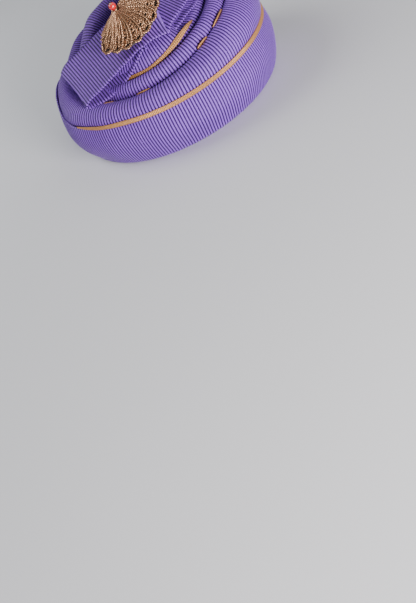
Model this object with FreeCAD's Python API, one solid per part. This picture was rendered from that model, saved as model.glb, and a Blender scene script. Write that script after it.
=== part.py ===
import FreeCAD, Part
import math
import os
from FreeCAD import Vector

# A small domed cocktail hat (fascinator) in ribbed ribbon with a woven gold edge.
# Frame: Z is the hat's axis, z = 0 is the plane that the rim rests on, -Y is the side that
# shows the bow best, +X is the front of the head. All sizes are in millimetres.

# ---- stiff base ------------------------------------------------------------------------
baseRadius = 62.5          # outside of the buckram cap
baseWall = 1.2
baseShoulder = 12.0        # rounding between wall and dome
shoulderHeight = 16.02     # where that rounding starts
baseFoot = 1.3             # how far the buckram stops above the resting plane
edgeWireDiameter = 1.6
layerGap = 0.1             # air between one layer and the next

# ---- inside ----------------------------------------------------------------------------
liningThickness = 0.4
headRibbonWidth = 15.0
headRibbonThickness = 0.8
headRibbonFoot = 1.2

# ---- side band -------------------------------------------------------------------------
rimOut = 2.5               # outside of the band beyond the base: where it meets the head,
bandBulgeOut = 8.0         # at its fullest
bandTopOut = 5.5           # and at its top
bandBulgeHeight = 18.5
bandHeight = 31.0          # top of the gold edge
domeRise = 13.0            # crown of the buckram dome above the gold edge
clothThickness = 1.0
turnUnder = 4.6            # cloth turned under the edge of the base
goldEdgeWidth = 2.2
goldEdgeThickness = 0.8
waddingShort = 1.2         # the wadding stops this far below the gold edge

# ---- draped coils ----------------------------------------------------------------------
crownLean = 12.0           # degrees that the draped crown leans away from the hat's axis
crownHighSide = 45.0       # azimuth of the crown's high side
creaseLow = 0.6            # lowest point of the middle coil's crease above the gold edge
creaseInset = 6.5          # the middle coil's inner crease, inside the base's wall
middleCoilSwell = 4.6
middleCoilTuck = 3.0       # how far its inner edge dips into the crease
innerCoilInset = 2.8       # from that crease to the inner coil
innerCoilWidth = 9.8
innerCoilRise = 8.6
innerCoilFoot = 0.9         # how far its outer edge dips below the crease
coilThickness = 1.2
innerGoldFoot = 6.2        # height in the crown's frame of the inner gold edge's outer side
innerGoldGap = 0.9         # between that edge and the inner coil
creaseGoldAzimuths = (238, 268, 326, 346)      # where the middle coil's gold edge peeps out
creaseGoldSweep = 9.0      # degrees
creaseGoldThickness = 0.5
creaseGoldGap = 0.75       # between that edge and the inner coil
crownRollRadius = 7.8      # the fat fold round the back of the crown
crownRollHeight = 13.8
crownRollStart = 104.0      # azimuths, in the crown's own frame
crownRollEnd = 152.0
crownRibbonStart = 174.0   # the crown ribbon runs round the front, from the roll to
crownRibbonEnd = 318.0     # where the bow's right loop covers it
crownRibbonRise = 15.6     # of the crown ribbon's top above the crease
crownTopHeight = 17.6
crownTopRadius = 20.0
crownTopInset = 1.7        # between the fat fold and the gathered cap inside it
crownTopGap = 1.6          # between the crown ribbon and the gathered cap
paddingDepth = 25.0        # how far below the crease the wadding is made before it is fitted
paddingInset = 6.0         # from the crease to the wadding's side

# ---- bow -------------------------------------------------------------------------------
bowRibbonWidth = 37.0
bowCloth = 0.9
bowAside = Vector(-5.0, -18.0, 0)      # of the bow's middle from the hat's axis
bowLift = 18.5             # of the bow's middle above the crown's origin
leftLoopShort = 8.2        # how much shorter each loop is than the inner coil's outer radius
rightLoopShort = 11.2
loopHeight = 7.5
leftLoopFall = 14.85       # of each loop's end from the bow's middle
rightLoopRise = 2.94
leftLoopUp = Vector(-0.33, -0.30, 0.87)
rightLoopUp = Vector(0.06, -0.26, 0.95)
knotWidth = 17.0
knotHeight = 1.5
loopGap = 0.2              # between the knot and each loop
wrapInset = 4.4            # the wrap's end, from the end of the knot
wrapShort = 2.0            # how much narrower than the ribbon the wrap is, on each side

# ---- bullion fan -----------------------------------------------------------------------
fanOffset = Vector(-4.35, 3.6, 8.4)    # of the fan's pivot from the bow's middle
fanNormal = Vector(-0.116, -0.534, 0.837)
fanAxis = Vector(0.47, -0.70, -0.54)
fanRadius = 26.5
fanSpread = 160.0          # degrees, from the first petal's edge to the last one's
petalCount = 8
outlineCord = 1.3
fillCord = 1.2
fillCordsPerPetal = 3
fillCordStart = 10.5       # of the middle cord, from the fan's pivot
legGap = 0.75              # half the space between a petal's two legs at the pivot
feltInset = 1.5            # from the petals' tips to the felt's edge
feltThickness = 1.0
beadDiameter = 4.4
beadHole = 0.8
beadBack = 1.2             # the bead sits this far behind the pivot
collarRing = 1.5
collarCord = 1.2

# ---- comb ------------------------------------------------------------------------------
combSpineDiameter = 2.0
combWidth = 46.0
combTeeth = 11
combToothDiameter = 1.3
combToothReach = 30.0
combHeight = 6.5           # of the spine above the resting plane
headCurve = 90.0           # radius that the teeth follow
combStandOff = 0.7         # spine to head ribbon
threadDiameter = 0.4
stitchSlack = 0.05

# ---- prong clip ------------------------------------------------------------------------
clipLength = 42.0
clipWidth = 7.0
clipSheet = 0.8
clipMiddleHeight = 8.8
clipHingeFromEnd = 14.0
clipPinDiameter = 2.0
pinPlay = 0.05             # running clearance round the pin
earPlay = 0.25
clipGap = 1.5              # between the closed jaws' plates
handleSpread = 25.0        # degrees that the handles close by
clipTeeth = 9
clipTooth = 1.2
springWire = 0.5
springTurnPitch = 0.94      # turns lie this many wire diameters apart
springLeg = 9.0
springClear = 0.12         # between the wire and the pin
clipStandOff = 0.3
lugReach = 2.2             # of the fixed jaw's lugs round the pin
pinHeadRim = 0.45
pinHeadHeight = 0.4
toothGap = 0.15            # tooth tip to the fixed plate

# ---- derived ---------------------------------------------------------------------------
baseHeight = bandHeight + domeRise
shoulderDrop = baseHeight - shoulderHeight
baseDomeRadius = (((baseRadius - baseShoulder) ** 2 + shoulderDrop ** 2 - baseShoulder ** 2)
                  / (2 * (shoulderDrop - baseShoulder)))
rimRadius = baseRadius + rimOut
bandBulgeRadius = baseRadius + bandBulgeOut
bandTopRadius = baseRadius + bandTopOut
creaseRadius = baseRadius - creaseInset
innerCoilOuter = creaseRadius - innerCoilInset
innerCoilInner = innerCoilOuter - innerCoilWidth
crownRollRing = crownTopRadius + crownTopInset + crownRollRadius
leanRad = math.radians(crownLean)
crownOrigin = Vector(0, 0, bandHeight + creaseLow + creaseRadius * math.tan(leanRad))
bowKnot = crownOrigin + bowAside + Vector(0, 0, bowLift)
leftLoopLength = innerCoilOuter - leftLoopShort
rightLoopLength = innerCoilOuter - rightLoopShort
leftLoopAlong = Vector(-0.94, 0.01, -leftLoopFall / leftLoopLength)
rightLoopAlong = Vector(0.72, 0.68, rightLoopRise / rightLoopLength)
fanPivot = bowKnot + fanOffset
highRad = math.radians(crownHighSide)
crownAxis = Vector(-math.sin(leanRad) * math.cos(highRad),
                   -math.sin(leanRad) * math.sin(highRad), math.cos(leanRad))
crownTurn = FreeCAD.Rotation(Vector(0, 0, 1), crownAxis)
crownPlace = FreeCAD.Placement(crownOrigin, crownTurn)
domeCentre = baseHeight - baseDomeRadius
liningOuter = -(baseWall + layerGap)
headRibbonInner = baseRadius + liningOuter - liningThickness - layerGap - headRibbonThickness
hingeOut = clipSheet + clipGap / 2 + clipPinDiameter      # pin centre from the fixed plate's back
handleBase = hingeOut + clipPinDiameter / 2 + springWire + 2 * springClear + layerGap

os.makedirs("parts", exist_ok=True)


def save(shape, node):
    if isinstance(shape, list):
        shape = Part.makeCompound(shape)
    shape.exportStep(f"parts/{node}.step")
    print(f"{node}: {len(shape.Solids)} solid(s), {shape.Volume:.0f} mm3")


def spin(face, start=0.0, sweep=360.0):
    """A solid of revolution about Z from a face in the XZ plane."""
    body = face.revolve(Vector(0, 0, 0), Vector(0, 0, 1), sweep)
    body.rotate(Vector(0, 0, 0), Vector(0, 0, 1), start)
    return body


def curve(points):
    line = Part.BSplineCurve()
    line.interpolate(points)
    return line.toShape()


def sideways(points, distance):
    """The points, each moved to the left of the direction of travel in the XZ plane."""
    moved = []
    for k, p in enumerate(points):
        before = points[max(k - 1, 0)]
        after = points[min(k + 1, len(points) - 1)]
        way = after - before
        way.normalize()
        moved.append(p + Vector(-way.z, 0, way.x) * distance)
    return moved


def stripWire(outline, thickness):
    """The closed section of a strip: outline is a list of (radius, height) on its outer side,
    and the strip's thickness lies to the left of the direction of travel."""
    outer = [Vector(r, 0, z) for r, z in outline]
    inner = sideways(outer, thickness)
    edges = [curve(outer), Part.makeLine(outer[-1], inner[-1]),
             curve(inner[::-1]), Part.makeLine(inner[0], outer[0])]
    return Part.Wire(edges)


def strip(outline, thickness):
    return Part.Face(stripWire(outline, thickness))


def arcThrough(centre, radius, start, end):
    """A circular edge in the XZ plane, by its angles in degrees from the X axis."""
    at = [centre + Vector(math.cos(a), 0, math.sin(a)) * radius
          for a in (math.radians(start), math.radians((start + end) / 2), math.radians(end))]
    return Part.Arc(*at).toShape(), at[0], at[2]


def domeSolid(grow, foot):
    """The base's outer form, grown by a distance, solid down to the height foot."""
    shoulder = Vector(baseRadius - baseShoulder, 0, 0)
    shoulder.z = domeCentre + math.sqrt((baseDomeRadius - baseShoulder) ** 2 - shoulder.x ** 2)
    lift = math.degrees(math.atan2(shoulder.z - domeCentre, shoulder.x))
    bend, bendStart, _ = arcThrough(shoulder, baseShoulder + grow, 0, lift)
    dome, _, domeEnd = arcThrough(Vector(0, 0, domeCentre), baseDomeRadius + grow, lift, 90)
    bottom = Vector(baseRadius + grow, 0, foot)
    middle = Vector(0, 0, foot)
    edges = [Part.makeLine(middle, bottom), Part.makeLine(bottom, bendStart), bend, dome,
             Part.makeLine(domeEnd, middle)]
    return spin(Part.Face(Part.Wire(edges)))


def tube(path, diameter):
    """A round solid along a wire or edge."""
    wire = path if isinstance(path, Part.Wire) else Part.Wire([path])
    start = wire.Edges[0]
    at = start.valueAt(start.FirstParameter)
    way = start.tangentAt(start.FirstParameter)
    ring = Part.Wire([Part.Circle(at, way, diameter / 2).toShape()])
    return wire.makePipeShell([ring], True, True)


# ---- stiff base and what is inside it --------------------------------------------------

def baseCap():
    return domeSolid(0, baseFoot).cut(domeSolid(-baseWall, baseFoot - 1))


def lining():
    return domeSolid(liningOuter, baseFoot + layerGap).cut(
        domeSolid(liningOuter - liningThickness, baseFoot - 1))


def headRibbon():
    low = headRibbonFoot
    ring = Part.makeCylinder(headRibbonInner + headRibbonThickness, headRibbonWidth, Vector(0, 0, low))
    return ring.cut(Part.makeCylinder(headRibbonInner, headRibbonWidth, Vector(0, 0, low)))


def edgeWire():
    radius = baseRadius + layerGap + edgeWireDiameter / 2
    height = clothThickness + layerGap + edgeWireDiameter / 2
    return Part.makeTorus(radius, edgeWireDiameter / 2, Vector(0, 0, height), Vector(0, 0, 1))


# ---- side band -------------------------------------------------------------------------

def bandArc():
    """Centre and radius of the circle through the rim, the bulge and the band's top."""
    points = [Vector(rimRadius, 0, 0), Vector(bandBulgeRadius, 0, bandBulgeHeight),
              Vector(bandTopRadius, 0, bandHeight)]
    circle = Part.Arc(*points).toShape().Curve
    return circle.Center, circle.Radius


def bandAngle(height):
    centre, radius = bandArc()
    return math.degrees(math.asin((height - centre.z) / radius))


def sideBand():
    centre, radius = bandArc()
    top = bandHeight - goldEdgeWidth
    inside = radius - clothThickness
    foot = math.degrees(math.asin((clothThickness - centre.z) / inside))
    outer, outerLow, outerHigh = arcThrough(centre, radius, bandAngle(0), bandAngle(top))
    inner, innerHigh, innerLow = arcThrough(centre, inside, bandAngle(top), foot)
    turned = rimRadius - turnUnder
    corners = [innerLow, Vector(turned, 0, clothThickness), Vector(turned, 0, 0), outerLow]
    edges = [outer, Part.makeLine(outerHigh, innerHigh), inner]
    edges += [Part.makeLine(a, b) for a, b in zip(corners, corners[1:])]
    return spin(Part.Face(Part.Wire(edges)))


def bandGoldEdge():
    """The woven edge that carries on the band's wall above its cloth."""
    centre, radius = bandArc()
    low = bandAngle(bandHeight - goldEdgeWidth + layerGap)
    high = bandAngle(bandHeight)
    outer, outerLow, outerHigh = arcThrough(centre, radius - layerGap, low, high)
    inner, innerHigh, innerLow = arcThrough(centre, radius - layerGap - goldEdgeThickness, high, low)
    edges = [outer, Part.makeLine(outerHigh, innerHigh), inner, Part.makeLine(innerLow, outerLow)]
    return spin(Part.Face(Part.Wire(edges)))


def bandWadding():
    """The soft filling between the upright wall of the base and the band."""
    low = clothThickness + 2 * layerGap + edgeWireDiameter
    high = bandHeight - goldEdgeWidth - waddingShort
    gap = clothThickness + layerGap
    centre, radius = bandArc()
    outer, outerLow, outerHigh = arcThrough(centre, radius - gap, bandAngle(low + 1), bandAngle(high))
    inside = baseRadius + layerGap
    edges = [outer, Part.makeLine(outerHigh, Vector(inside, 0, outerHigh.z)),
             Part.makeLine(Vector(inside, 0, outerHigh.z), Vector(inside, 0, outerLow.z)),
             Part.makeLine(Vector(inside, 0, outerLow.z), outerLow)]
    return spin(Part.Face(Part.Wire(edges)))


# ---- draped coils ----------------------------------------------------------------------

def creaseHeight(azimuth):
    """Height of the crease between the middle and inner coils."""
    rise = creaseRadius * math.tan(leanRad)
    return crownOrigin.z + rise * math.cos(azimuth - highRad)


def middleCoil():
    foot = Vector(bandTopRadius - clothThickness - 0.6, 0, bandHeight - 0.3)
    sections = []
    steps = 24
    for k in range(steps):
        azimuth = 2 * math.pi * k / steps
        lip = Vector(creaseRadius, 0, creaseHeight(azimuth))
        way = lip - foot
        out = Vector(way.z, 0, -way.x)
        out.normalize()
        outline = []
        for t in (0.0, 0.3, 0.6, 0.85, 1.0):
            p = foot + way * t + out * middleCoilSwell * math.sin(math.pi * t) ** 0.8
            outline.append((p.x, p.z))
        outline.append((lip.x - 0.6, lip.z - middleCoilTuck))
        wire = stripWire(outline, coilThickness)
        wire.rotate(Vector(0, 0, 0), Vector(0, 0, 1), math.degrees(azimuth))
        sections.append(wire)
    return Part.makeLoft(sections, True, False, True)


def inCrown(shape):
    shape.Placement = crownPlace.multiply(shape.Placement)
    return shape


def innerCoil():
    width = innerCoilOuter - innerCoilInner
    outline = [(innerCoilOuter - 0.2, -innerCoilFoot), (innerCoilOuter, 2.4),
               (innerCoilOuter - 0.3 * width, 0.9 * innerCoilRise),
               (innerCoilOuter - 0.72 * width, innerCoilRise),
               (innerCoilInner, 0.7 * innerCoilRise)]
    return inCrown(spin(strip(outline, coilThickness)))


def innerGoldEdge():
    """The woven gold edge of the crown ribbon, lying just inside the inner coil."""
    outer = innerCoilInner - innerGoldGap
    outline = [(outer, innerGoldFoot), (outer - 1.1, innerGoldFoot + 1.0),
               (outer - 2.1, innerGoldFoot + 2.3)]
    section = strip(outline, goldEdgeThickness)
    return inCrown(spin(section, crownRibbonStart + 2, crownRibbonEnd - crownRibbonStart - 4))


def creaseGoldEdge():
    """The middle coil's own gold edge, which peeps out of the crease in short stretches."""
    pieces = []
    near = innerCoilOuter + creaseGoldGap
    outline = [(near, -0.6), (near + 0.2, 1.0), (near + 0.15, 2.8)]
    for azimuth in creaseGoldAzimuths:
        section = strip(outline, creaseGoldThickness)
        pieces.append(inCrown(spin(section, azimuth - creaseGoldSweep / 2, creaseGoldSweep)))
    return pieces


def crownRoll():
    ring = Part.Wire([Part.Circle(Vector(crownRollRing, 0, crownRollHeight), Vector(0, 1, 0),
                                  crownRollRadius).toShape()])
    roll = spin(Part.Face(ring), crownRollStart, crownRollEnd - crownRollStart)
    ends = []
    for azimuth in (crownRollStart, crownRollEnd):
        end = Part.makeSphere(crownRollRadius, Vector(crownRollRing, 0, crownRollHeight))
        end.rotate(Vector(0, 0, 0), Vector(0, 0, 1), azimuth)
        ends.append(end)
    return inCrown(roll.multiFuse(ends).removeSplitter())


def crownRibbon():
    """The flat ribbon on the front of the crown, from the inner gold edge up to the knot."""
    foot = innerCoilInner - 3.3
    low = innerGoldFoot + 2.6
    rise = crownRibbonRise - low
    run = foot - crownTopRadius - crownTopGap
    outline = [(foot - run * along, low + rise * up)
               for along, up in ((0, 0), (0.24, 0.45), (0.57, 0.8), (0.84, 0.95), (1, 1))]
    section = strip(outline, coilThickness)
    return inCrown(spin(section, crownRibbonStart, crownRibbonEnd - crownRibbonStart))


def crownTop():
    """A gathered cap in the middle of the crown, inside the fat fold."""
    outline = [(crownTopRadius, crownTopHeight - 2.6), (0.8 * crownTopRadius, crownTopHeight - 1.4),
               (0.5 * crownTopRadius, crownTopHeight - 0.4), (0.2 * crownTopRadius, crownTopHeight)]
    outer = [Vector(r, 0, z) for r, z in outline]
    outer.append(Vector(0, 0, crownTopHeight))
    inside = [p - Vector(0, 0, coilThickness) for p in outer]
    inside[0] = outer[0] - Vector(coilThickness, 0, 0)
    edges = [curve(outer), Part.makeLine(outer[-1], inside[-1]), curve(inside[::-1]),
             Part.makeLine(inside[0], outer[0])]
    return inCrown(spin(Part.Face(Part.Wire(edges))))


def crownPadding():
    """Wadding that fills the space between the stiff dome and the draped ribbons."""
    side = creaseRadius - paddingInset
    corners = [(0, -paddingDepth), (side, -paddingDepth), (side, -4.5), (innerCoilInner - 3, 4.0),
               (crownRollRing, crownRollHeight - crownRollRadius - 0.8),
               (crownRollRing - 0.9 * crownRollRadius, crownRollHeight - 0.8 * crownRollRadius),
               (crownTopRadius - 2, crownTopHeight - 5.0),
               (0, crownTopHeight - 3.0)]
    points = [Vector(r, 0, z) for r, z in corners]
    face = Part.Face(Part.makePolygon(points + points[:1]))
    return inCrown(spin(face)).cut(domeSolid(layerGap, -1))


# ---- bow -------------------------------------------------------------------------------

def bowFrame(along, up):
    """A placement whose X runs along the loop, Z points out of the crown and Y is the width."""
    x = Vector(along).normalize()
    z = Vector(up) - x * up.dot(x)
    z.normalize()
    y = z.cross(x)
    turn = FreeCAD.Matrix(x.x, y.x, z.x, bowKnot.x, x.y, y.y, z.y, bowKnot.y,
                          x.z, y.z, z.z, bowKnot.z, 0, 0, 0, 1)
    return FreeCAD.Placement(turn)


def bowLoop(length, along, up):
    """A ribbon doubled back on itself, open at both selvedges."""
    start = knotWidth / 2 + loopGap
    end = start + length - bowCloth
    upper = [(start, 1.6), (start + 0.3 * length, 0.92 * loopHeight), (start + 0.65 * length, loopHeight),
             (end - 2.5, 4.6), (end, 2.2)]
    lower = [(end, 2.2), (end - 3.5, 0.4), (start + 0.6 * length, -0.4), (start + 0.3 * length, 0.1),
             (start, -0.9)]
    top = [Vector(x, 0, z) for x, z in upper]
    low = [Vector(x, 0, z) for x, z in lower]
    inTop = [Vector(start, 0, 0.9)] + [p - Vector(0.02 * length, 0, bowCloth) for p in top[1:3]]
    inTop += [Vector(end - 3.4, 0, 3.8), Vector(end - bowCloth, 0, 2.2)]
    inLow = [Vector(end - bowCloth, 0, 2.2), Vector(end - 4.0, 0, 1.2)]
    inLow += [p + Vector(0, 0, bowCloth) for p in low[2:4]] + [Vector(start, 0, 0.1)]
    outline = Part.Wire([curve(top), curve(low), Part.makeLine(low[-1], top[0])])
    hollow = Part.Wire([curve(inTop), curve(inLow), Part.makeLine(inLow[-1], inTop[0])])
    width = Vector(0, bowRibbonWidth, 0)
    loop = Part.Face(outline).extrude(width).cut(Part.Face(hollow).extrude(width))
    loop.translate(Vector(0, -bowRibbonWidth / 2, 0))
    loop.Placement = bowFrame(along, up).multiply(loop.Placement)
    return loop


def bowCentre():
    """The soft wrap over the middle of the bow, between the two loops."""
    half = knotWidth / 2 - wrapInset
    reach = bowRibbonWidth / 2 - wrapShort
    section = [Vector(0, -reach, -0.8), Vector(0, -0.55 * reach, 0.75 * knotHeight),
               Vector(0, 0, knotHeight), Vector(0, 0.55 * reach, 0.75 * knotHeight),
               Vector(0, reach, -0.8)]
    face = Part.Face(Part.Wire([curve(section), Part.makeLine(section[-1], section[0])]))
    face.translate(Vector(-half, 0, 0))
    wrap = face.extrude(Vector(2 * half, 0, 0))
    middle = (leftLoopUp + rightLoopUp) * 0.5
    wrap.Placement = bowFrame(rightLoopAlong - leftLoopAlong, middle).multiply(wrap.Placement)
    return wrap


# ---- bullion fan -----------------------------------------------------------------------

def fanFrame():
    z = Vector(fanNormal).normalize()
    x = Vector(fanAxis) - z * fanAxis.dot(z)
    x.normalize()
    y = z.cross(x)
    turn = FreeCAD.Matrix(x.x, y.x, z.x, fanPivot.x, x.y, y.y, z.y, fanPivot.y,
                          x.z, y.z, z.z, fanPivot.z, 0, 0, 0, 1)
    return FreeCAD.Placement(turn)


def inFan(shape):
    shape.Placement = fanFrame().multiply(shape.Placement)
    return shape


def petalAngles():
    step = fanSpread / petalCount
    return [-fanSpread / 2 + step * (k + 0.5) for k in range(petalCount)]


def petalShare():
    return math.sin(math.radians(fanSpread / petalCount / 2))


def petalRound():
    """Radius of a petal's round end, so that neighbours don't touch."""
    return (fanRadius * petalShare() - outlineCord / 2 - layerGap) / (1 + petalShare())


def petalPath():
    """A drop-shaped line along X: two legs that leave the pivot and meet in a round end."""
    round_ = petalRound()
    height = feltThickness + outlineCord / 2
    centre = Vector(fanRadius - round_, 0, height)
    start = Vector(outlineCord / petalShare(), legGap, height)
    away = centre - start
    tilt = math.atan2(away.y, away.x) + math.asin(round_ / away.Length)
    touch = centre + Vector(-math.sin(tilt), math.cos(tilt), 0) * round_
    tip = centre + Vector(round_, 0, 0)
    lower = Vector(touch.x, -touch.y, height)
    return Part.Wire([Part.makeLine(start, touch), Part.Arc(touch, tip, lower).toShape(),
                      Part.makeLine(lower, Vector(start.x, -start.y, height))])


def fanOutlineCords():
    cords = []
    for angle in petalAngles():
        cord = tube(petalPath(), outlineCord)
        cord.rotate(Vector(0, 0, 0), Vector(0, 0, 1), angle)
        cords.append(inFan(cord))
    return cords


def fanFillCords():
    """Straight cords that fill each petal between its outline's legs."""
    end = fanRadius - outlineCord - fillCord
    spread = math.degrees(fillCord * 1.12 / (fanRadius - petalRound() - 4))
    cords = []
    for angle in petalAngles():
        for k in range(fillCordsPerPetal):
            side = k - (fillCordsPerPetal - 1) / 2
            start = fillCordStart if side == 0 else (fillCord + layerGap) / math.sin(math.radians(spread))
            length = end - start - 1.2 * abs(side)
            height = feltThickness + fillCord / 2
            cord = Part.makeCylinder(fillCord / 2, length, Vector(start, 0, height), Vector(1, 0, 0))
            cord.rotate(Vector(0, 0, 0), Vector(0, 0, 1), angle + side * spread)
            cords.append(inFan(cord))
    return cords


def fanFelt():
    """The stiffened felt that the fan's cords are sewn to."""
    half = math.radians(fanSpread / 2 - 5)
    reach = fanRadius - feltInset
    ends = [Vector(reach * math.cos(a), reach * math.sin(a), 0) for a in (-half, 0, half)]
    edges = [Part.Arc(*ends).toShape(), Part.makeLine(ends[2], Vector(-2.5, 0, 0)),
             Part.makeLine(Vector(-2.5, 0, 0), ends[0])]
    return inFan(Part.Face(Part.Wire(edges)).extrude(Vector(0, 0, feltThickness - layerGap)))


def beadParts():
    """The red bead, the twisted collar that it sits in, and the thread through its hole."""
    seat = feltThickness + 0.8
    centre = Vector(-beadBack, 0, seat + beadDiameter / 2)
    bead = Part.makeSphere(beadDiameter / 2, centre)
    hole = Part.makeCylinder(beadHole / 2, beadDiameter + 2, centre - Vector(0, 0, beadDiameter / 2 + 1))
    bead = bead.cut(hole)
    collarHeight = feltThickness + collarCord / 2 + stitchSlack
    collar = Part.makeTorus(collarRing, collarCord / 2, Vector(-beadBack, 0, collarHeight), Vector(0, 0, 1))
    stitch = Part.makeCylinder(beadHole / 2 - layerGap, beadDiameter + seat - feltThickness,
                               Vector(-beadBack, 0, feltThickness))
    cap = Part.makeSphere(beadHole / 2 + 0.25, Vector(-beadBack, 0, seat + beadDiameter + 0.4))
    return inFan(bead), inFan(collar), inFan(stitch.fuse(cap))


# ---- comb ------------------------------------------------------------------------------

def combSpineRadius():
    return headRibbonInner - combStandOff - combSpineDiameter / 2


def combSpine():
    radius = combSpineRadius()
    half = math.degrees(combWidth / 2 / radius)
    ring = Part.Wire([Part.Circle(Vector(radius, 0, combHeight), Vector(0, 1, 0),
                                  combSpineDiameter / 2).toShape()])
    spine = spin(Part.Face(ring), -half, 2 * half)
    ends = []
    for side in (-half, half):
        end = Part.makeSphere(combSpineDiameter / 2, Vector(radius, 0, combHeight))
        end.rotate(Vector(0, 0, 0), Vector(0, 0, 1), side)
        ends.append(end)
    return spine.multiFuse(ends)


def combToothPlaces():
    pitch = (combWidth - 4) / (combTeeth - 1)
    return [pitch * (k - (combTeeth - 1) / 2) for k in range(combTeeth)]


def combToothSet():
    """Round teeth that leave the spine towards the back of the head and follow its curve."""
    spine = combSpine()
    teeth = []
    for y in combToothPlaces():
        x = math.sqrt(combSpineRadius() ** 2 - y ** 2)
        drop = combHeight - math.sqrt(headCurve ** 2 - x ** 2)
        centre = Vector(0, y, drop)
        start = math.atan2(combHeight - drop, x)
        turn = combToothReach / headCurve
        root = start + combSpineDiameter / 4 / headCurve
        at = centre + Vector(math.cos(root), 0, math.sin(root)) * headCurve
        ring = Part.Wire([Part.Circle(at, Vector(-math.sin(root), 0, math.cos(root)),
                                      combToothDiameter / 2).toShape()])
        sweep = math.degrees(start + turn - root)
        tooth = Part.Face(ring).revolve(centre, Vector(0, -1, 0), sweep).cut(spine)
        tip = centre + Vector(math.cos(start + turn), 0, math.sin(start + turn)) * headCurve
        teeth.append(tooth.fuse(Part.makeSphere(combToothDiameter / 2, tip)).removeSplitter())
    return teeth


def combStitches():
    """Thread turns that hold the spine to the head ribbon, one between each pair of teeth."""
    places = combToothPlaces()
    turns = []
    for a, b in zip(places, places[1:]):
        y = (a + b) / 2
        angle = math.asin(y / combSpineRadius())
        at = Vector(combSpineRadius() * math.cos(angle), y, combHeight)
        way = Vector(-math.sin(angle), math.cos(angle), 0)
        radius = combSpineDiameter / 2 + threadDiameter / 2 + stitchSlack
        turns.append(Part.makeTorus(radius, threadDiameter / 2, at, way))
    return turns


# ---- prong clip ------------------------------------------------------------------------
# Clip frame: X runs along the clip (hat +Y), Y points from the wall to the hat's axis,
# Z is up; its origin is the hinge's place on the fixed plate.

def clipPlace():
    half = clipLength / 2
    sag = headRibbonInner - math.sqrt(headRibbonInner ** 2 - half ** 2)
    wall = -(headRibbonInner - sag - clipStandOff)
    turn = FreeCAD.Matrix(0, 1, 0, wall, 1, 0, 0, -half + clipHingeFromEnd,
                          0, 0, -1, clipMiddleHeight, 0, 0, 0, 1)
    return FreeCAD.Placement(turn)


def inClip(shape):
    shape.Placement = clipPlace().multiply(shape.Placement)
    return shape


def lugs(width, reach, back, out):
    """Two lugs drilled for the pin, width apart over their outsides, each 2 x reach along the
    clip and running from back to out across it."""
    pair = []
    for low in (-width / 2, width / 2 - clipSheet):
        lug = Part.makeBox(2 * reach, out - back, clipSheet, Vector(-reach, back, low))
        hole = Part.makeCylinder(clipPinDiameter / 2 + pinPlay, 3 * clipSheet,
                                 Vector(0, hingeOut, low - clipSheet))
        pair.append(lug.cut(hole))
    return pair


def clipFixedJaw():
    plate = Part.makeBox(clipLength, clipSheet, clipWidth, Vector(-clipHingeFromEnd, 0, -clipWidth / 2))
    ears = lugs(clipWidth, lugReach, 0, hingeOut + lugReach)
    return inClip(plate.multiFuse(ears).removeSplitter())


def clipMovingJaw():
    inner = clipWidth - 2 * clipSheet - 2 * earPlay
    low = -inner / 2
    reach = clipLength - clipHingeFromEnd
    inset = clipSheet + clipGap
    far = handleBase + clipSheet
    round_ = clipPinDiameter / 2 + springWire + 2 * springClear
    step = round_ + 4 * layerGap
    grip = Part.makeBox(reach - step, clipSheet, inner, Vector(step, inset, low))
    bridge = Part.makeBox(clipSheet, far - inset, inner, Vector(step, inset, low))
    back = Part.makeBox(2 * step + clipSheet, clipSheet, inner, Vector(-step, handleBase, low))
    handle = Part.makeBox(clipHingeFromEnd - step + clipSheet, clipSheet, inner,
                          Vector(-clipHingeFromEnd, handleBase, low))
    handle.rotate(Vector(clipSheet - step, handleBase, 0), Vector(0, 0, 1), -handleSpread / 2)
    ears = lugs(inner, step, hingeOut - round_, far)
    teeth = []
    for x in clipTeethPlaces():
        corners = [Vector(x - clipTooth / 2, inset, low), Vector(x + clipTooth / 2, inset, low),
                   Vector(x, clipSheet + toothGap, low)]
        tooth = Part.Face(Part.makePolygon(corners + corners[:1]))
        teeth.append(tooth.extrude(Vector(0, 0, inner)))
    return inClip(grip.multiFuse([bridge, back, handle] + ears + teeth).removeSplitter())


def clipTeethPlaces():
    first = 7.0
    last = clipLength - clipHingeFromEnd - 1.5
    return [first + (last - first) * k / (clipTeeth - 1) for k in range(clipTeeth)]


def clipPin():
    length = clipWidth + 2 * earPlay
    pin = Part.makeCylinder(clipPinDiameter / 2, length, Vector(0, hingeOut, -length / 2))
    heads = [Part.makeCylinder(clipPinDiameter / 2 + pinHeadRim, pinHeadHeight, Vector(0, hingeOut, low))
             for low in (-length / 2 - pinHeadHeight, length / 2)]
    return inClip(pin.multiFuse(heads).removeSplitter())


def clipSpring():
    """Closed turns of wire round the pin, with one leg that bears on the fixed plate's handle."""
    room = clipWidth - 4 * clipSheet - 2 * earPlay - 0.4
    pitch = springTurnPitch * springWire
    turns = int(room / pitch)
    radius = clipPinDiameter / 2 + springWire / 2 + springClear
    rings = []
    for k in range(turns):
        at = Vector(0, hingeOut, pitch * (k - (turns - 1) / 2))
        rings.append(Part.makeTorus(radius, springWire / 2, at, Vector(0, 0, 1)))
    start = Vector(0, hingeOut - radius, pitch * (1 - turns) / 2)
    end = Vector(-springLeg, clipSheet + springWire / 2 + layerGap, start.z)
    leg = Part.makeCylinder(springWire / 2, (end - start).Length, start, end - start)
    return inClip(rings[0].multiFuse(rings[1:] + [leg]).removeSplitter())


def clipFelt():
    """A felt tab that fills the space between the straight clip and the curved ribbon."""
    half = clipLength / 2 - 3
    wall = clipPlace().Base.x - 0.1
    low = clipMiddleHeight - clipWidth / 2 + 0.5
    disc = Part.makeCylinder(headRibbonInner - layerGap, clipWidth - 1, Vector(0, 0, low))
    reach = headRibbonInner + wall
    box = Part.makeBox(reach, 2 * half, clipWidth - 1, Vector(-headRibbonInner, -half, low))
    return disc.common(box)


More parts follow.
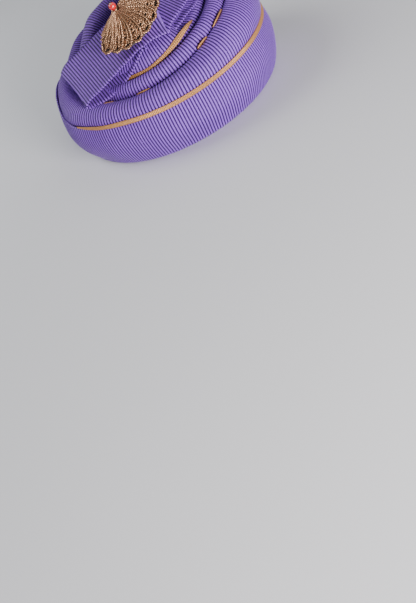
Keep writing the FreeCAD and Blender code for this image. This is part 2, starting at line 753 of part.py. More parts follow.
def clipStitches():
    """Thread staples that hold the fixed plate down on the felt, clear of the jaw's teeth."""
    teeth = clipTeethPlaces()
    places = [1.5 - clipHingeFromEnd] + [(teeth[k] + teeth[k + 1]) / 2 for k in (1, 4, 7)]
    slack = 0.1
    staples = []
    for x in places:
        outer = Part.makeBox(threadDiameter, clipSheet + slack + threadDiameter,
                             clipWidth + 2 * slack + 2 * threadDiameter,
                             Vector(x - threadDiameter / 2, 0, -clipWidth / 2 - slack - threadDiameter))
        inner = Part.makeBox(3, clipSheet + slack, clipWidth + 2 * slack,
                             Vector(x - 1.5, 0, -clipWidth / 2 - slack))
        staples.append(inClip(outer.cut(inner)))
    return staples


# ---- write every node ------------------------------------------------------------------

save(baseCap(), "base_cap")
save(edgeWire(), "edge_wire")
save(lining(), "crown_lining")
save(headRibbon(), "head_ribbon")
save(bandWadding(), "band_wadding")
save(crownPadding(), "crown_padding")
save(sideBand(), "side_band")
save(bandGoldEdge(), "side_band_gold_edge")
save(middleCoil(), "middle_coil")
save(creaseGoldEdge(), "crease_gold_edge")
save(innerCoil(), "inner_coil")
save(innerGoldEdge(), "crown_ribbon_gold_edge")
save(crownRibbon(), "crown_ribbon")
save(crownRoll(), "crown_roll")
save(crownTop(), "crown_top")
save(bowLoop(leftLoopLength, leftLoopAlong, leftLoopUp), "bow_loop_left")
save(bowLoop(rightLoopLength, rightLoopAlong, rightLoopUp), "bow_loop_right")
save(bowCentre(), "bow_centre")
save(fanFelt(), "fan_felt")
save(fanFillCords(), "fan_fill_cords")
save(fanOutlineCords(), "fan_outline_cords")
redBead, beadCollar, beadThread = beadParts()
save(redBead, "red_bead")
save(beadCollar, "bead_collar")
save(beadThread, "bead_thread")
save(combSpine(), "comb_spine")
save(combToothSet(), "comb_teeth")
save(combStitches(), "comb_stitches")
save(clipFixedJaw(), "clip_fixed_jaw")
save(clipMovingJaw(), "clip_moving_jaw")
save(clipPin(), "clip_pin")
save(clipSpring(), "clip_spring")
save(clipFelt(), "clip_felt")
save(clipStitches(), "clip_stitches")
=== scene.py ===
import math
import bpy
import numpy as np
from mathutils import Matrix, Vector


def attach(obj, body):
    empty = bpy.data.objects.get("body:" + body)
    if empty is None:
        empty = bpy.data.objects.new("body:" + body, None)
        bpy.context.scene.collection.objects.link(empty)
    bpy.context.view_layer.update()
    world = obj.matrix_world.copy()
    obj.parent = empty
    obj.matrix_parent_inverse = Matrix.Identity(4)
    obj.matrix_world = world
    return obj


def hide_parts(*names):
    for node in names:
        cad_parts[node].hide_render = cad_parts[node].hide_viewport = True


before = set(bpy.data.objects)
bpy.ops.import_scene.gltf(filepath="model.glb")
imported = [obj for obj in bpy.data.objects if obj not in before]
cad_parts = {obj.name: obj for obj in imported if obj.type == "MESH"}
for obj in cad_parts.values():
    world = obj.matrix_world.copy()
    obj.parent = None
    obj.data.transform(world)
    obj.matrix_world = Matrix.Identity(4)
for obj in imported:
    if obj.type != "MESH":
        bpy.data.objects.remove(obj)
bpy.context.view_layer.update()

mm = 0.001
turn = 2 * math.pi
print("frame loaded:", len(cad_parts), "nodes")

# the draped crown leans: its own frame has an origin on the hat's axis and a tilted axis
crown = {"lift": 43.5, "lean": 12.0, "highSide": 45.0}
leanAngle = math.radians(crown["lean"])
highAngle = math.radians(crown["highSide"])
crownAxis = Vector((-math.sin(leanAngle) * math.cos(highAngle),
                    -math.sin(leanAngle) * math.sin(highAngle), math.cos(leanAngle)))
crownTurn = np.array(Vector((0, 0, 1)).rotation_difference(crownAxis).to_matrix())


def leanWithCrown(points):
    return points @ crownTurn.T + np.array([0, 0, crown["lift"]])


def unit(v):
    return v / np.maximum(np.linalg.norm(v, axis=-1, keepdims=True), 1e-9)


def runAlong(points):
    # the distance from the first point to each point, measured along the line
    return np.r_[0, np.cumsum(np.linalg.norm(np.diff(points, axis=0), axis=1))]


def smoothLine(points, count):
    # a smooth line through the points, resampled so that its steps are even
    p = np.array(points, float)
    d = runAlong(p)
    slope = np.gradient(p, d, axis=0)
    x = np.linspace(0, d[-1], 24 * len(p))
    k = np.clip(np.searchsorted(d, x, side="right") - 1, 0, len(d) - 2)
    h = (d[k + 1] - d[k])[:, None]
    f = (x - d[k])[:, None] / h
    dense = ((2 * f**3 - 3 * f**2 + 1) * p[k] + (f**3 - 2 * f**2 + f) * h * slope[k]
             + (3 * f**2 - 2 * f**3) * p[k + 1] + (f**3 - f**2) * h * slope[k + 1])
    run = runAlong(dense)
    at = np.linspace(0, run[-1], count)
    return np.stack([np.interp(at, run, dense[:, i]) for i in range(p.shape[1])], axis=1)


def along(x, table):
    # a value that changes smoothly with x, from (x, value) pairs
    xs, ys = zip(*table)
    x = np.asarray(x, float)
    k = np.clip(np.searchsorted(xs, x, side="right") - 1, 0, len(xs) - 2)
    xs, ys = np.array(xs, float), np.array(ys, float)
    f = np.clip((x - xs[k]) / (xs[k + 1] - xs[k]), 0, 1)
    return ys[k] + (ys[k + 1] - ys[k]) * (3 * f**2 - 2 * f**3)


def ripple(s, t, seed, waves=6, low=1, high=5):
    # soft uneven rise and fall that closes on itself round a ring
    pick = np.random.default_rng(seed)
    total = 0
    for k in range(waves):
        rounds = pick.integers(low, high + 1)
        total = total + np.sin(turn * (rounds * s + pick.uniform() + pick.uniform(-0.6, 0.6) * t))
    return total / math.sqrt(waves)


def makeMesh(name, points, faces, uv=None):
    mesh = bpy.data.meshes.new(name)
    mesh.from_pydata((np.asarray(points) * mm).tolist(), [], faces)
    if uv is not None:
        layer = mesh.uv_layers.new(name="cloth")
        corner = np.empty(len(mesh.loops), dtype=np.int64)
        mesh.loops.foreach_get("vertex_index", corner)
        layer.data.foreach_set("uv", np.asarray(uv, np.float32)[corner].ravel())
    mesh.polygons.foreach_set("use_smooth", [True] * len(mesh.polygons))
    mesh.update()
    piece = bpy.data.objects.new(name, mesh)
    bpy.context.scene.collection.objects.link(piece)
    return piece


def gridFaces(columns, loop, closed):
    # quads over columns of points, where each column is a closed loop
    a = np.arange(columns if closed else columns - 1)[:, None]
    b = np.arange(loop)[None, :]
    nextA, nextB = (a + 1) % columns, (b + 1) % loop
    quads = np.stack([a * loop + b, nextA * loop + b, nextA * loop + nextB, a * loop + nextB], axis=-1)
    return quads.reshape(-1, 4).tolist()


def ribShape(phase):
    return np.abs(np.sin(math.pi * phase)) ** 0.6      # a flat-topped rib with a narrow groove


def ribbon(name, middle, cloth, closed=False, flip=False):
    # middle is a grid of points, columns along the length by rows across the width. The ribs
    # stand across the width on both faces, and the selvedges are rounded.
    columns, rows = middle.shape[:2]
    if closed:
        ds = np.roll(middle, -1, 0) - np.roll(middle, 1, 0)
    else:
        ds = np.gradient(middle, axis=0)
    dt = np.gradient(middle, axis=1)
    normal = unit(np.cross(ds, dt)) * (-1 if flip else 1)
    perRib = cloth["perRib"]
    phase = (np.arange(columns) / perRib)[:, None, None]
    ridge = ribShape(phase)
    fade = np.ones((1, rows, 1))
    fade[0, 0] = fade[0, -1] = 0.35      # the ribs flatten towards the selvedges
    half = cloth["thickness"] / 2 - cloth["ribHeight"] * (1 - ridge) * fade
    outer, inner = middle + normal * half, middle - normal * half
    out = unit(dt)
    edge = cloth["thickness"] * 0.32      # how far a selvedge rounds outwards
    lowEdge = middle[:, :1] - out[:, :1] * edge
    highEdge = middle[:, -1:] + out[:, -1:] * edge
    loops = np.concatenate([outer, highEdge, inner[:, ::-1], lowEdge], axis=1)
    loop = loops.shape[1]
    across = runAlong(middle[columns // 2])
    v = np.concatenate([across, across[-1:], across[::-1], across[:1]])
    uv = np.stack(np.broadcast_arrays(phase[:, :, 0], v[None, :]), axis=-1).astype(float)
    if closed:      # the first column comes again at the end, so that the cloth map doesn't run back
        loops = np.concatenate([loops, loops[:1]], axis=0)
        last = uv[-1:].copy()
        last[..., 0] = columns / perRib
        uv = np.concatenate([uv, last], axis=0)
        faces = gridFaces(columns + 1, loop, False)
    else:
        faces = gridFaces(columns, loop, False)
        for c, order in ((0, 1), (columns - 1, -1)):
            base = c * loop
            for r in range(rows - 1):
                cap = [base + r, base + r + 1, base + 2 * rows - 1 - r, base + 2 * rows - r]
                faces.append(cap[::order])
            faces.append([base + rows - 1, base + rows, base + rows + 1][::order])
            faces.append([base, base + 2 * rows, base + loop - 1][::order])
    if flip:
        faces = [f[::-1] for f in faces]
    piece = makeMesh(name, loops.reshape(-1, 3), faces, uv.reshape(-1, 2))
    if closed:
        weldSeam(piece)
    return piece


def weldSeam(piece):
    modifier = piece.modifiers.new("seam", "WELD")
    modifier.merge_threshold = 1e-6
    applyAll(piece)


def applyAll(piece):
    depth = bpy.context.evaluated_depsgraph_get()
    mesh = bpy.data.meshes.new_from_object(piece.evaluated_get(depth))
    old = piece.data
    piece.modifiers.clear()
    piece.data = mesh
    name = old.name
    bpy.data.meshes.remove(old)
    mesh.name = name


def ringColumns(radius, cloth):
    return int(round(turn * radius / cloth["ribPitch"])) * cloth["perRib"]


def around(azimuth, profiles, rows):
    # profiles holds, for every azimuth, the same number of (radius, height) points
    table = np.stack(profiles, axis=1)
    lines = []
    for angle, points in zip(azimuth, table):
        line = smoothLine(points, rows)
        lines.append(np.stack([line[:, 0] * math.cos(angle), line[:, 0] * math.sin(angle), line[:, 1]],
                              axis=1))
    return np.array(lines)


def pair(radius, height, like):
    return np.stack(np.broadcast_arrays(np.asarray(radius, float), np.asarray(height, float), like)[:2],
                    axis=-1)


def sidesAlong(line):
    # two directions square to a line of points, carried along it without twisting
    tangent = unit(np.gradient(line, axis=0))
    side = np.cross(tangent[0], (0.3, 0.2, 0.93))
    carried = []
    for way in tangent:
        side = side - way * side.dot(way)
        side = side / np.linalg.norm(side)
        carried.append(side)
    first = np.array(carried)
    return first, np.cross(tangent, first)


def tubes(name, lines, radius, sides=6):
    # round tubes along lines of points, all in one mesh
    points, faces, base = [], [], 0
    angle = np.arange(sides) * turn / sides
    for line in lines:
        first, second = sidesAlong(line)
        ring = line[:, None] + radius * (first[:, None] * np.cos(angle)[None, :, None]
                                         + second[:, None] * np.sin(angle)[None, :, None])
        points.append(ring.reshape(-1, 3))
        faces += [[i + base for i in f] for f in gridFaces(len(line), sides, False)]
        faces.append([base + k for k in range(sides)][::-1])
        faces.append([base + (len(line) - 1) * sides + k for k in range(sides)])
        base += len(points[-1])
    return makeMesh(name, np.concatenate(points), faces)


def strands(line, count, radius, pitch, start=0.0):
    # the lines of the strands that are twisted together along a line
    run = runAlong(line)
    first, second = sidesAlong(line)
    result = []
    for k in range(count):
        angle = turn * (run / pitch + k / count + start)
        result.append(line + (first * np.cos(angle)[:, None] + second * np.sin(angle)[:, None]) * radius)
    return result


# ---- finishes


def newMaterial(name):
    material = bpy.data.materials.new(name)
    material.use_nodes = True
    nodes = material.node_tree.nodes
    shader = nodes["Principled BSDF"]
    return material, nodes, material.node_tree.links, shader


def setShader(shader, **values):
    for key, value in values.items():
        shader.inputs[key.replace("_", " ")].default_value = value


def mathNode(nodes, links, operation, a, b=None):
    node = nodes.new("ShaderNodeMath")
    node.operation = operation
    for socket, value in zip(node.inputs, (a, b)):
        if value is None:
            continue
        if isinstance(value, (int, float)):
            socket.default_value = value
        else:
            links.new(value, socket)
    return node.outputs[0]


def mixColour(nodes, links, share, first, second):
    node = nodes.new("ShaderNodeMix")
    node.data_type = "RGBA"
    for socket, value in ((node.inputs[0], share), (node.inputs[6], first), (node.inputs[7], second)):
        if isinstance(value, tuple):
            socket.default_value = (*value, 1)
        else:
            links.new(value, socket)
    return node.outputs[2]


def noiseNode(nodes, links, scale, detail=3, stretch=None):
    place = nodes.new("ShaderNodeTexCoord").outputs["Object"]
    if stretch:
        mapping = nodes.new("ShaderNodeMapping")
        mapping.inputs["Scale"].default_value = stretch
        links.new(place, mapping.inputs["Vector"])
        place = mapping.outputs[0]
    noise = nodes.new("ShaderNodeTexNoise")
    noise.inputs["Scale"].default_value = scale
    noise.inputs["Detail"].default_value = detail
    links.new(place, noise.inputs["Vector"])
    return noise.outputs["Fac"]


def bumpTo(nodes, links, shader, height, distance, strength):
    bump = nodes.new("ShaderNodeBump")
    bump.inputs["Distance"].default_value = distance
    bump.inputs["Strength"].default_value = strength
    links.new(height, bump.inputs["Height"])
    links.new(bump.outputs[0], shader.inputs["Normal"])


ribbonFinish = {
    # groove is painted shade, a near-black colour laid into the grooves between the ribs
    "ridge": (0.285, 0.115, 0.640), "groove": (0.012, 0.003, 0.045), "shade": (0.190, 0.072, 0.470),
    "grooveShadeFrom": 0.06, "grooveShadeTo": 0.44, "roughness": 0.38, "sheen": 0.10, "warpPerMm": 3.2}


def ribbedCloth(name, finish):
    # ribs come from the cloth map's first number, the fine warp threads from its second; painted shade
    # darkens the grooves between the ribs
    material, nodes, links, shader = newMaterial(name)
    uv = nodes.new("ShaderNodeUVMap")
    uv.uv_map = "cloth"
    parts = nodes.new("ShaderNodeSeparateXYZ")
    links.new(uv.outputs[0], parts.inputs[0])
    phase = mathNode(nodes, links, "FRACT", parts.outputs[0])
    away = mathNode(nodes, links, "ABSOLUTE", mathNode(nodes, links, "SUBTRACT", phase, 0.5))
    # painted shade: the colour turns to the near-black groove colour towards each groove between the ribs
    groove = nodes.new("ShaderNodeMapRange")
    groove.interpolation_type = "SMOOTHSTEP"
    groove.inputs["From Min"].default_value = finish["grooveShadeFrom"]
    groove.inputs["From Max"].default_value = finish["grooveShadeTo"]
    links.new(away, groove.inputs["Value"])
    cloud = noiseNode(nodes, links, 45, 4)
    body = mixColour(nodes, links, cloud, finish["ridge"], finish["shade"])
    links.new(mixColour(nodes, links, groove.outputs[0], body, finish["groove"]),
              shader.inputs["Base Color"])
    warpPhase = mathNode(nodes, links, "MULTIPLY", parts.outputs[1], turn * finish["warpPerMm"])
    threads = mathNode(nodes, links, "SINE", warpPhase)
    fleck = noiseNode(nodes, links, 2600, 2)
    bumpTo(nodes, links, shader, mathNode(nodes, links, "ADD", threads, fleck), 0.00003, 0.7)
    setShader(shader, Roughness=finish["roughness"], Sheen_Weight=finish["sheen"], Sheen_Roughness=0.35,
              Sheen_Tint=(0.85, 0.72, 1.0, 1), Specular_Tint=(0.72, 0.52, 1.0, 1), Specular_IOR_Level=0.36)
    return material


goldFinish = {"thread": (0.52, 0.25, 0.085), "gap": (0.08, 0.03, 0.01), "metal": 0.45, "roughness": 0.40}


def wovenGold(name, finish):
    material, nodes, links, shader = newMaterial(name)
    uv = nodes.new("ShaderNodeUVMap")
    uv.uv_map = "cloth"
    parts = nodes.new("ShaderNodeSeparateXYZ")
    links.new(uv.outputs[0], parts.inputs[0])
    across = mathNode(nodes, links, "MULTIPLY", parts.outputs[0], turn / 2)
    weftWave = mathNode(nodes, links, "ABSOLUTE", mathNode(nodes, links, "SINE", across))
    warpWave = mathNode(nodes, links, "ABSOLUTE", mathNode(
        nodes, links, "SINE", mathNode(nodes, links, "MULTIPLY", parts.outputs[1], turn * 0.8)))
    weave = mathNode(nodes, links, "MULTIPLY", weftWave, warpWave)
    tone = mixColour(nodes, links, noiseNode(nodes, links, 700, 3), finish["thread"], finish["gap"])
    links.new(mixColour(nodes, links, mathNode(nodes, links, "POWER", weave, 0.5), tone, finish["thread"]),
              shader.inputs["Base Color"])
    bumpTo(nodes, links, shader, weave, 0.0002, 0.8)
    setShader(shader, Metallic=finish["metal"], Roughness=finish["roughness"])
    return material


def plainFinish(name, light, dark, scale, bumpDepth, roughness, metal=0.0, sheen=0.0, coat=0.0,
                stretch=None, detail=4):
    material, nodes, links, shader = newMaterial(name)
    grain = noiseNode(nodes, links, scale, detail, stretch)
    links.new(mixColour(nodes, links, grain, light, dark), shader.inputs["Base Color"])
    bumpTo(nodes, links, shader, grain, bumpDepth, 0.6)
    setShader(shader, Roughness=roughness, Metallic=metal, Sheen_Weight=sheen, Coat_Weight=coat)
    return material


purpleRibbon = ribbedCloth("ribbon purple", ribbonFinish)
goldWeave = wovenGold("ribbon gold edge", goldFinish)
bullion = plainFinish("bullion cord", (0.66, 0.40, 0.24), (0.13, 0.055, 0.025), 1100, 0.00012, 0.28,
                      metal=0.9)
feltBrown = plainFinish("felt brown", (0.060, 0.036, 0.018), (0.020, 0.011, 0.006), 1500, 0.0003, 0.95,
                        sheen=0.4)
glassRed = plainFinish("bead red", (0.62, 0.012, 0.020), (0.40, 0.004, 0.010), 200, 0.00002, 0.12, coat=0.8)
threadPurple = plainFinish("sewing thread", (0.16, 0.10, 0.36), (0.06, 0.03, 0.16), 3000, 0.0001, 0.7)
buckramWeave = plainFinish("buckram", (0.52, 0.48, 0.40), (0.34, 0.31, 0.25), 1400, 0.0002, 0.9)
waddingWhite = plainFinish("wadding", (0.72, 0.70, 0.66), (0.50, 0.48, 0.45), 600, 0.0006, 1.0, sheen=0.3)
steelWire = plainFinish("steel", (0.62, 0.62, 0.62), (0.42, 0.42, 0.43), 800, 0.00003, 0.28, metal=1.0)
coveredWire = plainFinish("covered wire", (0.50, 0.48, 0.44), (0.28, 0.27, 0.25), 1800, 0.0001, 0.85)
liningSatin = plainFinish("lining satin", (0.030, 0.022, 0.060), (0.014, 0.010, 0.030), 900, 0.00006, 0.38,
                          sheen=0.2, stretch=(1, 1, 0.2))
petershamBlack = plainFinish("petersham", (0.022, 0.018, 0.030), (0.010, 0.008, 0.014), 1200, 0.0001, 0.7)
feltBlack = plainFinish("felt black", (0.030, 0.026, 0.036), (0.012, 0.010, 0.015), 1500, 0.0003, 0.95,
                        sheen=0.3)
print("finishes ready")


def dress(piece, material, slot, *nodes, body="hat"):
    piece.data.materials.clear()
    piece.data.materials.append(material)
    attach(piece, body)
    if nodes:
        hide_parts(*nodes)
    return piece


# ---- side band: cloth turned under the rim, up over the bulge, and standing up at the left
grosgrain = {"thickness": 1.0, "ribPitch": 1.8, "ribHeight": 0.36, "perRib": 6}
band = {
    "hem": [(60.8, 0.5), (63.7, 0.5)],
    "wall": [(65.0, 1.3), (67.0, 5.6), (69.2, 12.0), (70.0, 18.5), (69.2, 25.0), (67.7, 30.4)],
    "rise": [(110, 0), (140, 6.4), (165, 9.4), (178, 8.6), (188, 5.2), (197, 2.0), (207, 0.3), (216, 0)],
    "bulge": [(140, 0), (172, 2.6), (200, 4.0), (222, 1.8), (242, 0)],
    "riseLean": 0.26, "slack": 0.28, "rows": 26}


def roundTable(azimuth, table):
    return along(np.degrees(azimuth) % 360, [(0, 0)] + table + [(360, 0)])


def sideBand():
    columns = ringColumns(70, grosgrain)
    s = np.arange(columns) / columns
    azimuth = turn * s
    rise = roundTable(azimuth, band["rise"])
    bulge = roundTable(azimuth, band["bulge"])
    profiles = [pair(r, z, azimuth) for r, z in band["hem"]]
    for k, (r, z) in enumerate(band["wall"]):
        loose = band["slack"] * (0.3 + 0.7 * math.sin(math.pi * k / 5))
        loose = loose * ripple(s, z / 30, 3 + k // 2, high=7)
        share = (z / band["wall"][-1][1]) ** 2
        push = bulge * math.sin(0.5 * math.pi * min(z / 22, 1))
        profiles.append(pair(r + loose + push - band["riseLean"] * rise * share, z + rise * share, azimuth))
    middle = around(azimuth, profiles, band["rows"])
    piece = ribbon("side_band_cloth", middle, grosgrain, closed=True, flip=True)
    dress(piece, purpleRibbon, "ribbon_purple", "side_band")
    return middle[:, -1], azimuth


bandTop, bandAzimuth = sideBand()
print("side band made")

goldCloth = {"thickness": 0.75, "ribPitch": 0.95, "ribHeight": 0.12, "perRib": 4}
bandGold = {"width": 1.7, "start": -151.0, "end": 24.0, "out": 0.30, "tilt": 0.35,
            "shows": [(-151, 0.3), (-138, 0.75), (-120, 1.0), (0, 1.0), (24, 0.6)]}


def bandGoldEdge():
    span = math.radians(bandGold["end"] - bandGold["start"])
    columns = int(span * 68 / goldCloth["ribPitch"]) * goldCloth["perRib"] + 1
    azimuth = np.linspace(math.radians(bandGold["start"]), math.radians(bandGold["end"]), columns)
    radius = np.interp(azimuth % turn, bandAzimuth, np.hypot(bandTop[:, 0], bandTop[:, 1]), period=turn)
    height = np.interp(azimuth % turn, bandAzimuth, bandTop[:, 2], period=turn)
    width = bandGold["width"] * along(np.degrees(azimuth), bandGold["shows"])
    rows = []
    for t in np.linspace(-1, 0.35, 5):
        r = radius + bandGold["out"] - bandGold["tilt"] * width * (t + 0.1)
        z = height + width * t * 0.92 + 0.5
        rows.append(np.stack([r * np.cos(azimuth), r * np.sin(azimuth), z], axis=1))
    piece = ribbon("side_band_gold", np.stack(rows, axis=1), goldCloth, flip=True)
    dress(piece, goldWeave, "ribbon_gold", "side_band_gold_edge")


bandGoldEdge()

# ---- middle coil: from the gold edge up over its swell and down into the crease
middleCoil = {
    "inside": 0.9, "footHeight": 31.0, "lip": 55.0, "lipLift": 4.0, "tuck": 4.2,
    "swell": [(0, 5.6), (60, 5.0), (140, 5.6), (172, 6.6), (205, 5.4), (235, 4.0), (280, 4.4), (330, 5.8),
              (360, 5.6)],
    "section": [(0.02, 0.10), (0.12, 0.52), (0.3, 0.90), (0.5, 1.0), (0.7, 0.86), (0.86, 0.52), (0.96, 0.18)],
    "overlap": [(0, 0.15), (25, 1.0), (60, 1.0), (120, 0.8), (160, 0.0), (340, 0.0), (360, 0.15)],
    "rows": 26}


def middleCoilCloth():
    columns = ringColumns(62, grosgrain)
    s = np.arange(columns) / columns
    azimuth = turn * s
    degrees = np.degrees(azimuth)
    over = along(degrees, middleCoil["overlap"])
    swell = along(degrees, middleCoil["swell"]) + 0.35 * ripple(s, 0, 11, high=6)
    footR = np.hypot(*bandTop[np.searchsorted(bandAzimuth, azimuth) % len(bandAzimuth), :2].T)
    footR = footR - middleCoil["inside"] + 2.6 * over
    footZ = middleCoil["footHeight"] - 4.2 * over
    lipR = middleCoil["lip"] + 0.5 * ripple(s, 0, 12, high=4)
    lipZ = (crown["lift"] + middleCoil["lip"] * math.tan(leanAngle) * np.cos(azimuth - highAngle)
            + middleCoil["lipLift"] + 0.4 * ripple(s, 0, 14, high=5))
    wayR, wayZ = lipR - footR, lipZ - footZ
    size = np.hypot(wayR, wayZ)
    outR, outZ = wayZ / size, -wayR / size
    profiles = [pair(footR - 1.0, footZ - 0.4, azimuth)]
    for t, lift in middleCoil["section"]:
        bump = swell * lift + 0.25 * ripple(s, t, 13, high=8)
        profiles.append(pair(footR + wayR * t + outR * bump, footZ + wayZ * t + outZ * bump, azimuth))
    profiles.append(pair(lipR - 0.5, lipZ - 1.1, azimuth))
    profiles.append(pair(lipR - 0.6, lipZ - middleCoil["tuck"], azimuth))
    middle = around(azimuth, profiles, middleCoil["rows"])
    piece = ribbon("middle_coil_cloth", middle, grosgrain, closed=True, flip=True)
    dress(piece, purpleRibbon, "ribbon_purple", "middle_coil")


middleCoilCloth()

# ---- inner coil, in the leaning crown
innerCoil = {
    "profile": [(52.6, -1.4), (53.0, 2.4), (52.2, 5.6), (50.2, 7.8), (47.6, 8.5), (45.2, 7.7), (43.6, 5.4)],
    "back": [(110, 0), (145, 0.8), (170, 1.0), (200, 0.7), (222, 0)],    # where it stands up behind the bow
    "backOut": 3.6, "backUp": 3.0, "rows": 22}


def innerCoilCloth():
    columns = ringColumns(49, grosgrain)
    s = np.arange(columns) / columns
    azimuth = turn * s
    profiles = []
    for k, (r, z) in enumerate(innerCoil["profile"]):
        soft = 0.32 * ripple(s, k / 6, 21, high=6)
        back = roundTable(azimuth, innerCoil["back"]) * math.sin(math.pi * min(k + 0.6, 6) / 6.6)
        profiles.append(pair(r + soft + innerCoil["backOut"] * back,
                             z + soft * 0.8 + innerCoil["backUp"] * back, azimuth))
    middle = leanWithCrown(around(azimuth, profiles, innerCoil["rows"]))
    piece = ribbon("inner_coil_cloth", middle, grosgrain, closed=True, flip=True)
    dress(piece, purpleRibbon, "ribbon_purple", "inner_coil")


innerCoilCloth()

# ---- crown ribbon: the flat turn between the inner coil and the bow, with its gold edge
crownRibbon = {
    "profile": [(42.6, 3.0), (42.3, 6.0), (40.6, 8.8), (37.4, 12.0), (32.0, 14.6), (25.0, 15.9),
                (17.5, 16.2)],
    "lift": [(0, 1.4), (60, 0.0), (240, 0.0), (262, -0.4), (300, 2.2), (330, 1.8), (360, 1.4)],
    "hollow": [(284, 0), (303, 4.2), (338, 3.8), (357, 0)],      # under the bow's right loop
    "hollowShare": [0, 0.1, 0.45, 1.0, 0.9, 0.4, 0.1],
    "crevice": [(296, 0), (312, 1.3), (345, 1.3), (359, 0)], "rows": 20}


def crownRibbonCloth():
    columns = ringColumns(38, grosgrain)
    s = np.arange(columns) / columns
    azimuth = turn * s
    lift = along(np.degrees(azimuth), crownRibbon["lift"])
    hollow = roundTable(azimuth, crownRibbon["hollow"])
    crevice = roundTable(azimuth, crownRibbon["crevice"])
    profiles = []
    for k, (r, z) in enumerate(crownRibbon["profile"]):
        share = math.exp(-((k - 1.6) / 1.8) ** 2)
        height = z + lift * share + 0.2 * ripple(s, k / 6, 32) - hollow * crownRibbon["hollowShare"][k]
        profiles.append(pair(r + 0.2 * ripple(s, k / 6, 31) - crevice * share, height, azimuth))
    middle = leanWithCrown(around(azimuth, profiles, crownRibbon["rows"]))
    piece = ribbon("crown_ribbon_cloth", middle, grosgrain, closed=True, flip=True)
    dress(piece, purpleRibbon, "ribbon_purple", "crown_ribbon")


crownRibbonCloth()

# ---- crown top: the ribbon's end, gathered into the middle under the bow
crownTop = {
    "profile": [(19.6, 14.6), (18.6, 15.7), (15.5, 16.5), (11.5, 17.0), (7.5, 17.1), (4.0, 16.7),
                (1.4, 15.6)],
    "pleats": 13, "pleatDepth": 0.55, "rows": 18}


def crownTopCloth():
    columns = ringColumns(14, grosgrain)
    s = np.arange(columns) / columns
    azimuth = turn * s
    profiles = []
    for k, (r, z) in enumerate(crownTop["profile"]):
        share = (k / 6) ** 0.5 * min(1, r / 5)
        pleat = np.abs(np.sin(0.5 * crownTop["pleats"] * azimuth + 0.35 * k)) ** 0.7 * share
        height = z + crownTop["pleatDepth"] * (2 * pleat - 1) + 0.2 * ripple(s, k / 6, 34)
        profiles.append(pair(r, height, azimuth))
    middle = leanWithCrown(around(azimuth, profiles, crownTop["rows"]))
    fine = dict(grosgrain, ribHeight=0.2, thickness=0.7)
    piece = ribbon("crown_top_cloth", middle, fine, closed=True, flip=True)
    dress(piece, purpleRibbon, "ribbon_purple", "crown_top")


crownTopCloth()

crownGold = {
    "line": [(190, 41.8, 7.2), (232, 42.8, 7.5), (248, 42.9, 7.7), (259, 42.9, 7.4), (269, 42.8, 8.0),
             (278, 42.5, 8.5), (288, 42.0, 9.3), (298, 41.6, 9.7), (305, 41.0, 9.2), (312, 40.0, 7.6)],
    "width": [(190, 1.3), (250, 1.5), (272, 1.7), (290, 2.7), (301, 2.0), (308, 1.1), (312, 0.3)]}


def crownGoldEdge():
    line = smoothLine([(0.7 * a, r, z) for a, r, z in crownGold["line"]], 300)
    degrees, radius, height = line[:, 0] / 0.7, line[:, 1], line[:, 2]
    width = along(degrees, crownGold["width"])
    azimuth = np.radians(degrees)
    rows = []
    for t in np.linspace(-0.5, 0.5, 5):
        r = radius - width * t * 0.75
        z = height + width * t * 0.75 + 0.3
        rows.append(np.stack([r * np.cos(azimuth), r * np.sin(azimuth), z], axis=1))
    piece = ribbon("crown_ribbon_gold", leanWithCrown(np.stack(rows, axis=1)), goldCloth, flip=True)
    dress(piece, goldWeave, "ribbon_gold", "crown_ribbon_gold_edge")


crownGoldEdge()

# ---- the middle coil's own gold edge peeps out of the crease in short stretches
creaseGold = {
    "peeps": [(221.5, 229.5, 2.3, 2.4), (247, 256, 0.9, 0.6), (292, 301, 1.5, 0.9), (308, 322, 1.4, 0.8),
              (345, 352, 1.2, 0.8)],      # from, to, how far it shows, curl
    "radius": 54.8, "height": 4.4}


def creaseGoldPeeps():
    pieces = []
    for number, (start, end, shows, curl) in enumerate(creaseGold["peeps"]):
        columns = int(math.radians(end - start) * 54 / goldCloth["ribPitch"]) * goldCloth["perRib"] + 1
        f = np.linspace(0, 1, columns)
        azimuth = np.radians(start + (end - start) * f)
        show = shows * np.sin(math.pi * f) ** 0.6
        rows = []
        for t in np.linspace(0, 1, 6):
            r = creaseGold["radius"] - 0.9 + curl * t * t * np.sin(math.pi * f) + 0.9 * t
            z = creaseGold["height"] - 1.4 + (1.4 + show) * t
            rows.append(np.stack([r * np.cos(azimuth), r * np.sin(azimuth), z], axis=1))
        piece = ribbon(f"crease_gold_{number}", leanWithCrown(np.stack(rows, axis=1)), goldCloth, flip=True)
        dress(piece, goldWeave, "ribbon_gold", *(["crease_gold_edge"] if number == 0 else []))


creaseGoldPeeps()
print("coils made")

# ---- crown roll: a padded fold round the back of the crown
crownRoll = {
    "line": [(62, 28.0, 12.0, 3.0), (84, 26.5, 13.6, 6.0), (108, 26.5, 15.0, 7.6), (135, 29.0, 14.2, 8.4),
             (158, 33.4, 11.6, 7.8), (176, 37.5, 8.6, 6.4), (190, 40.0, 6.0, 4.0)],
    "sides": 44}


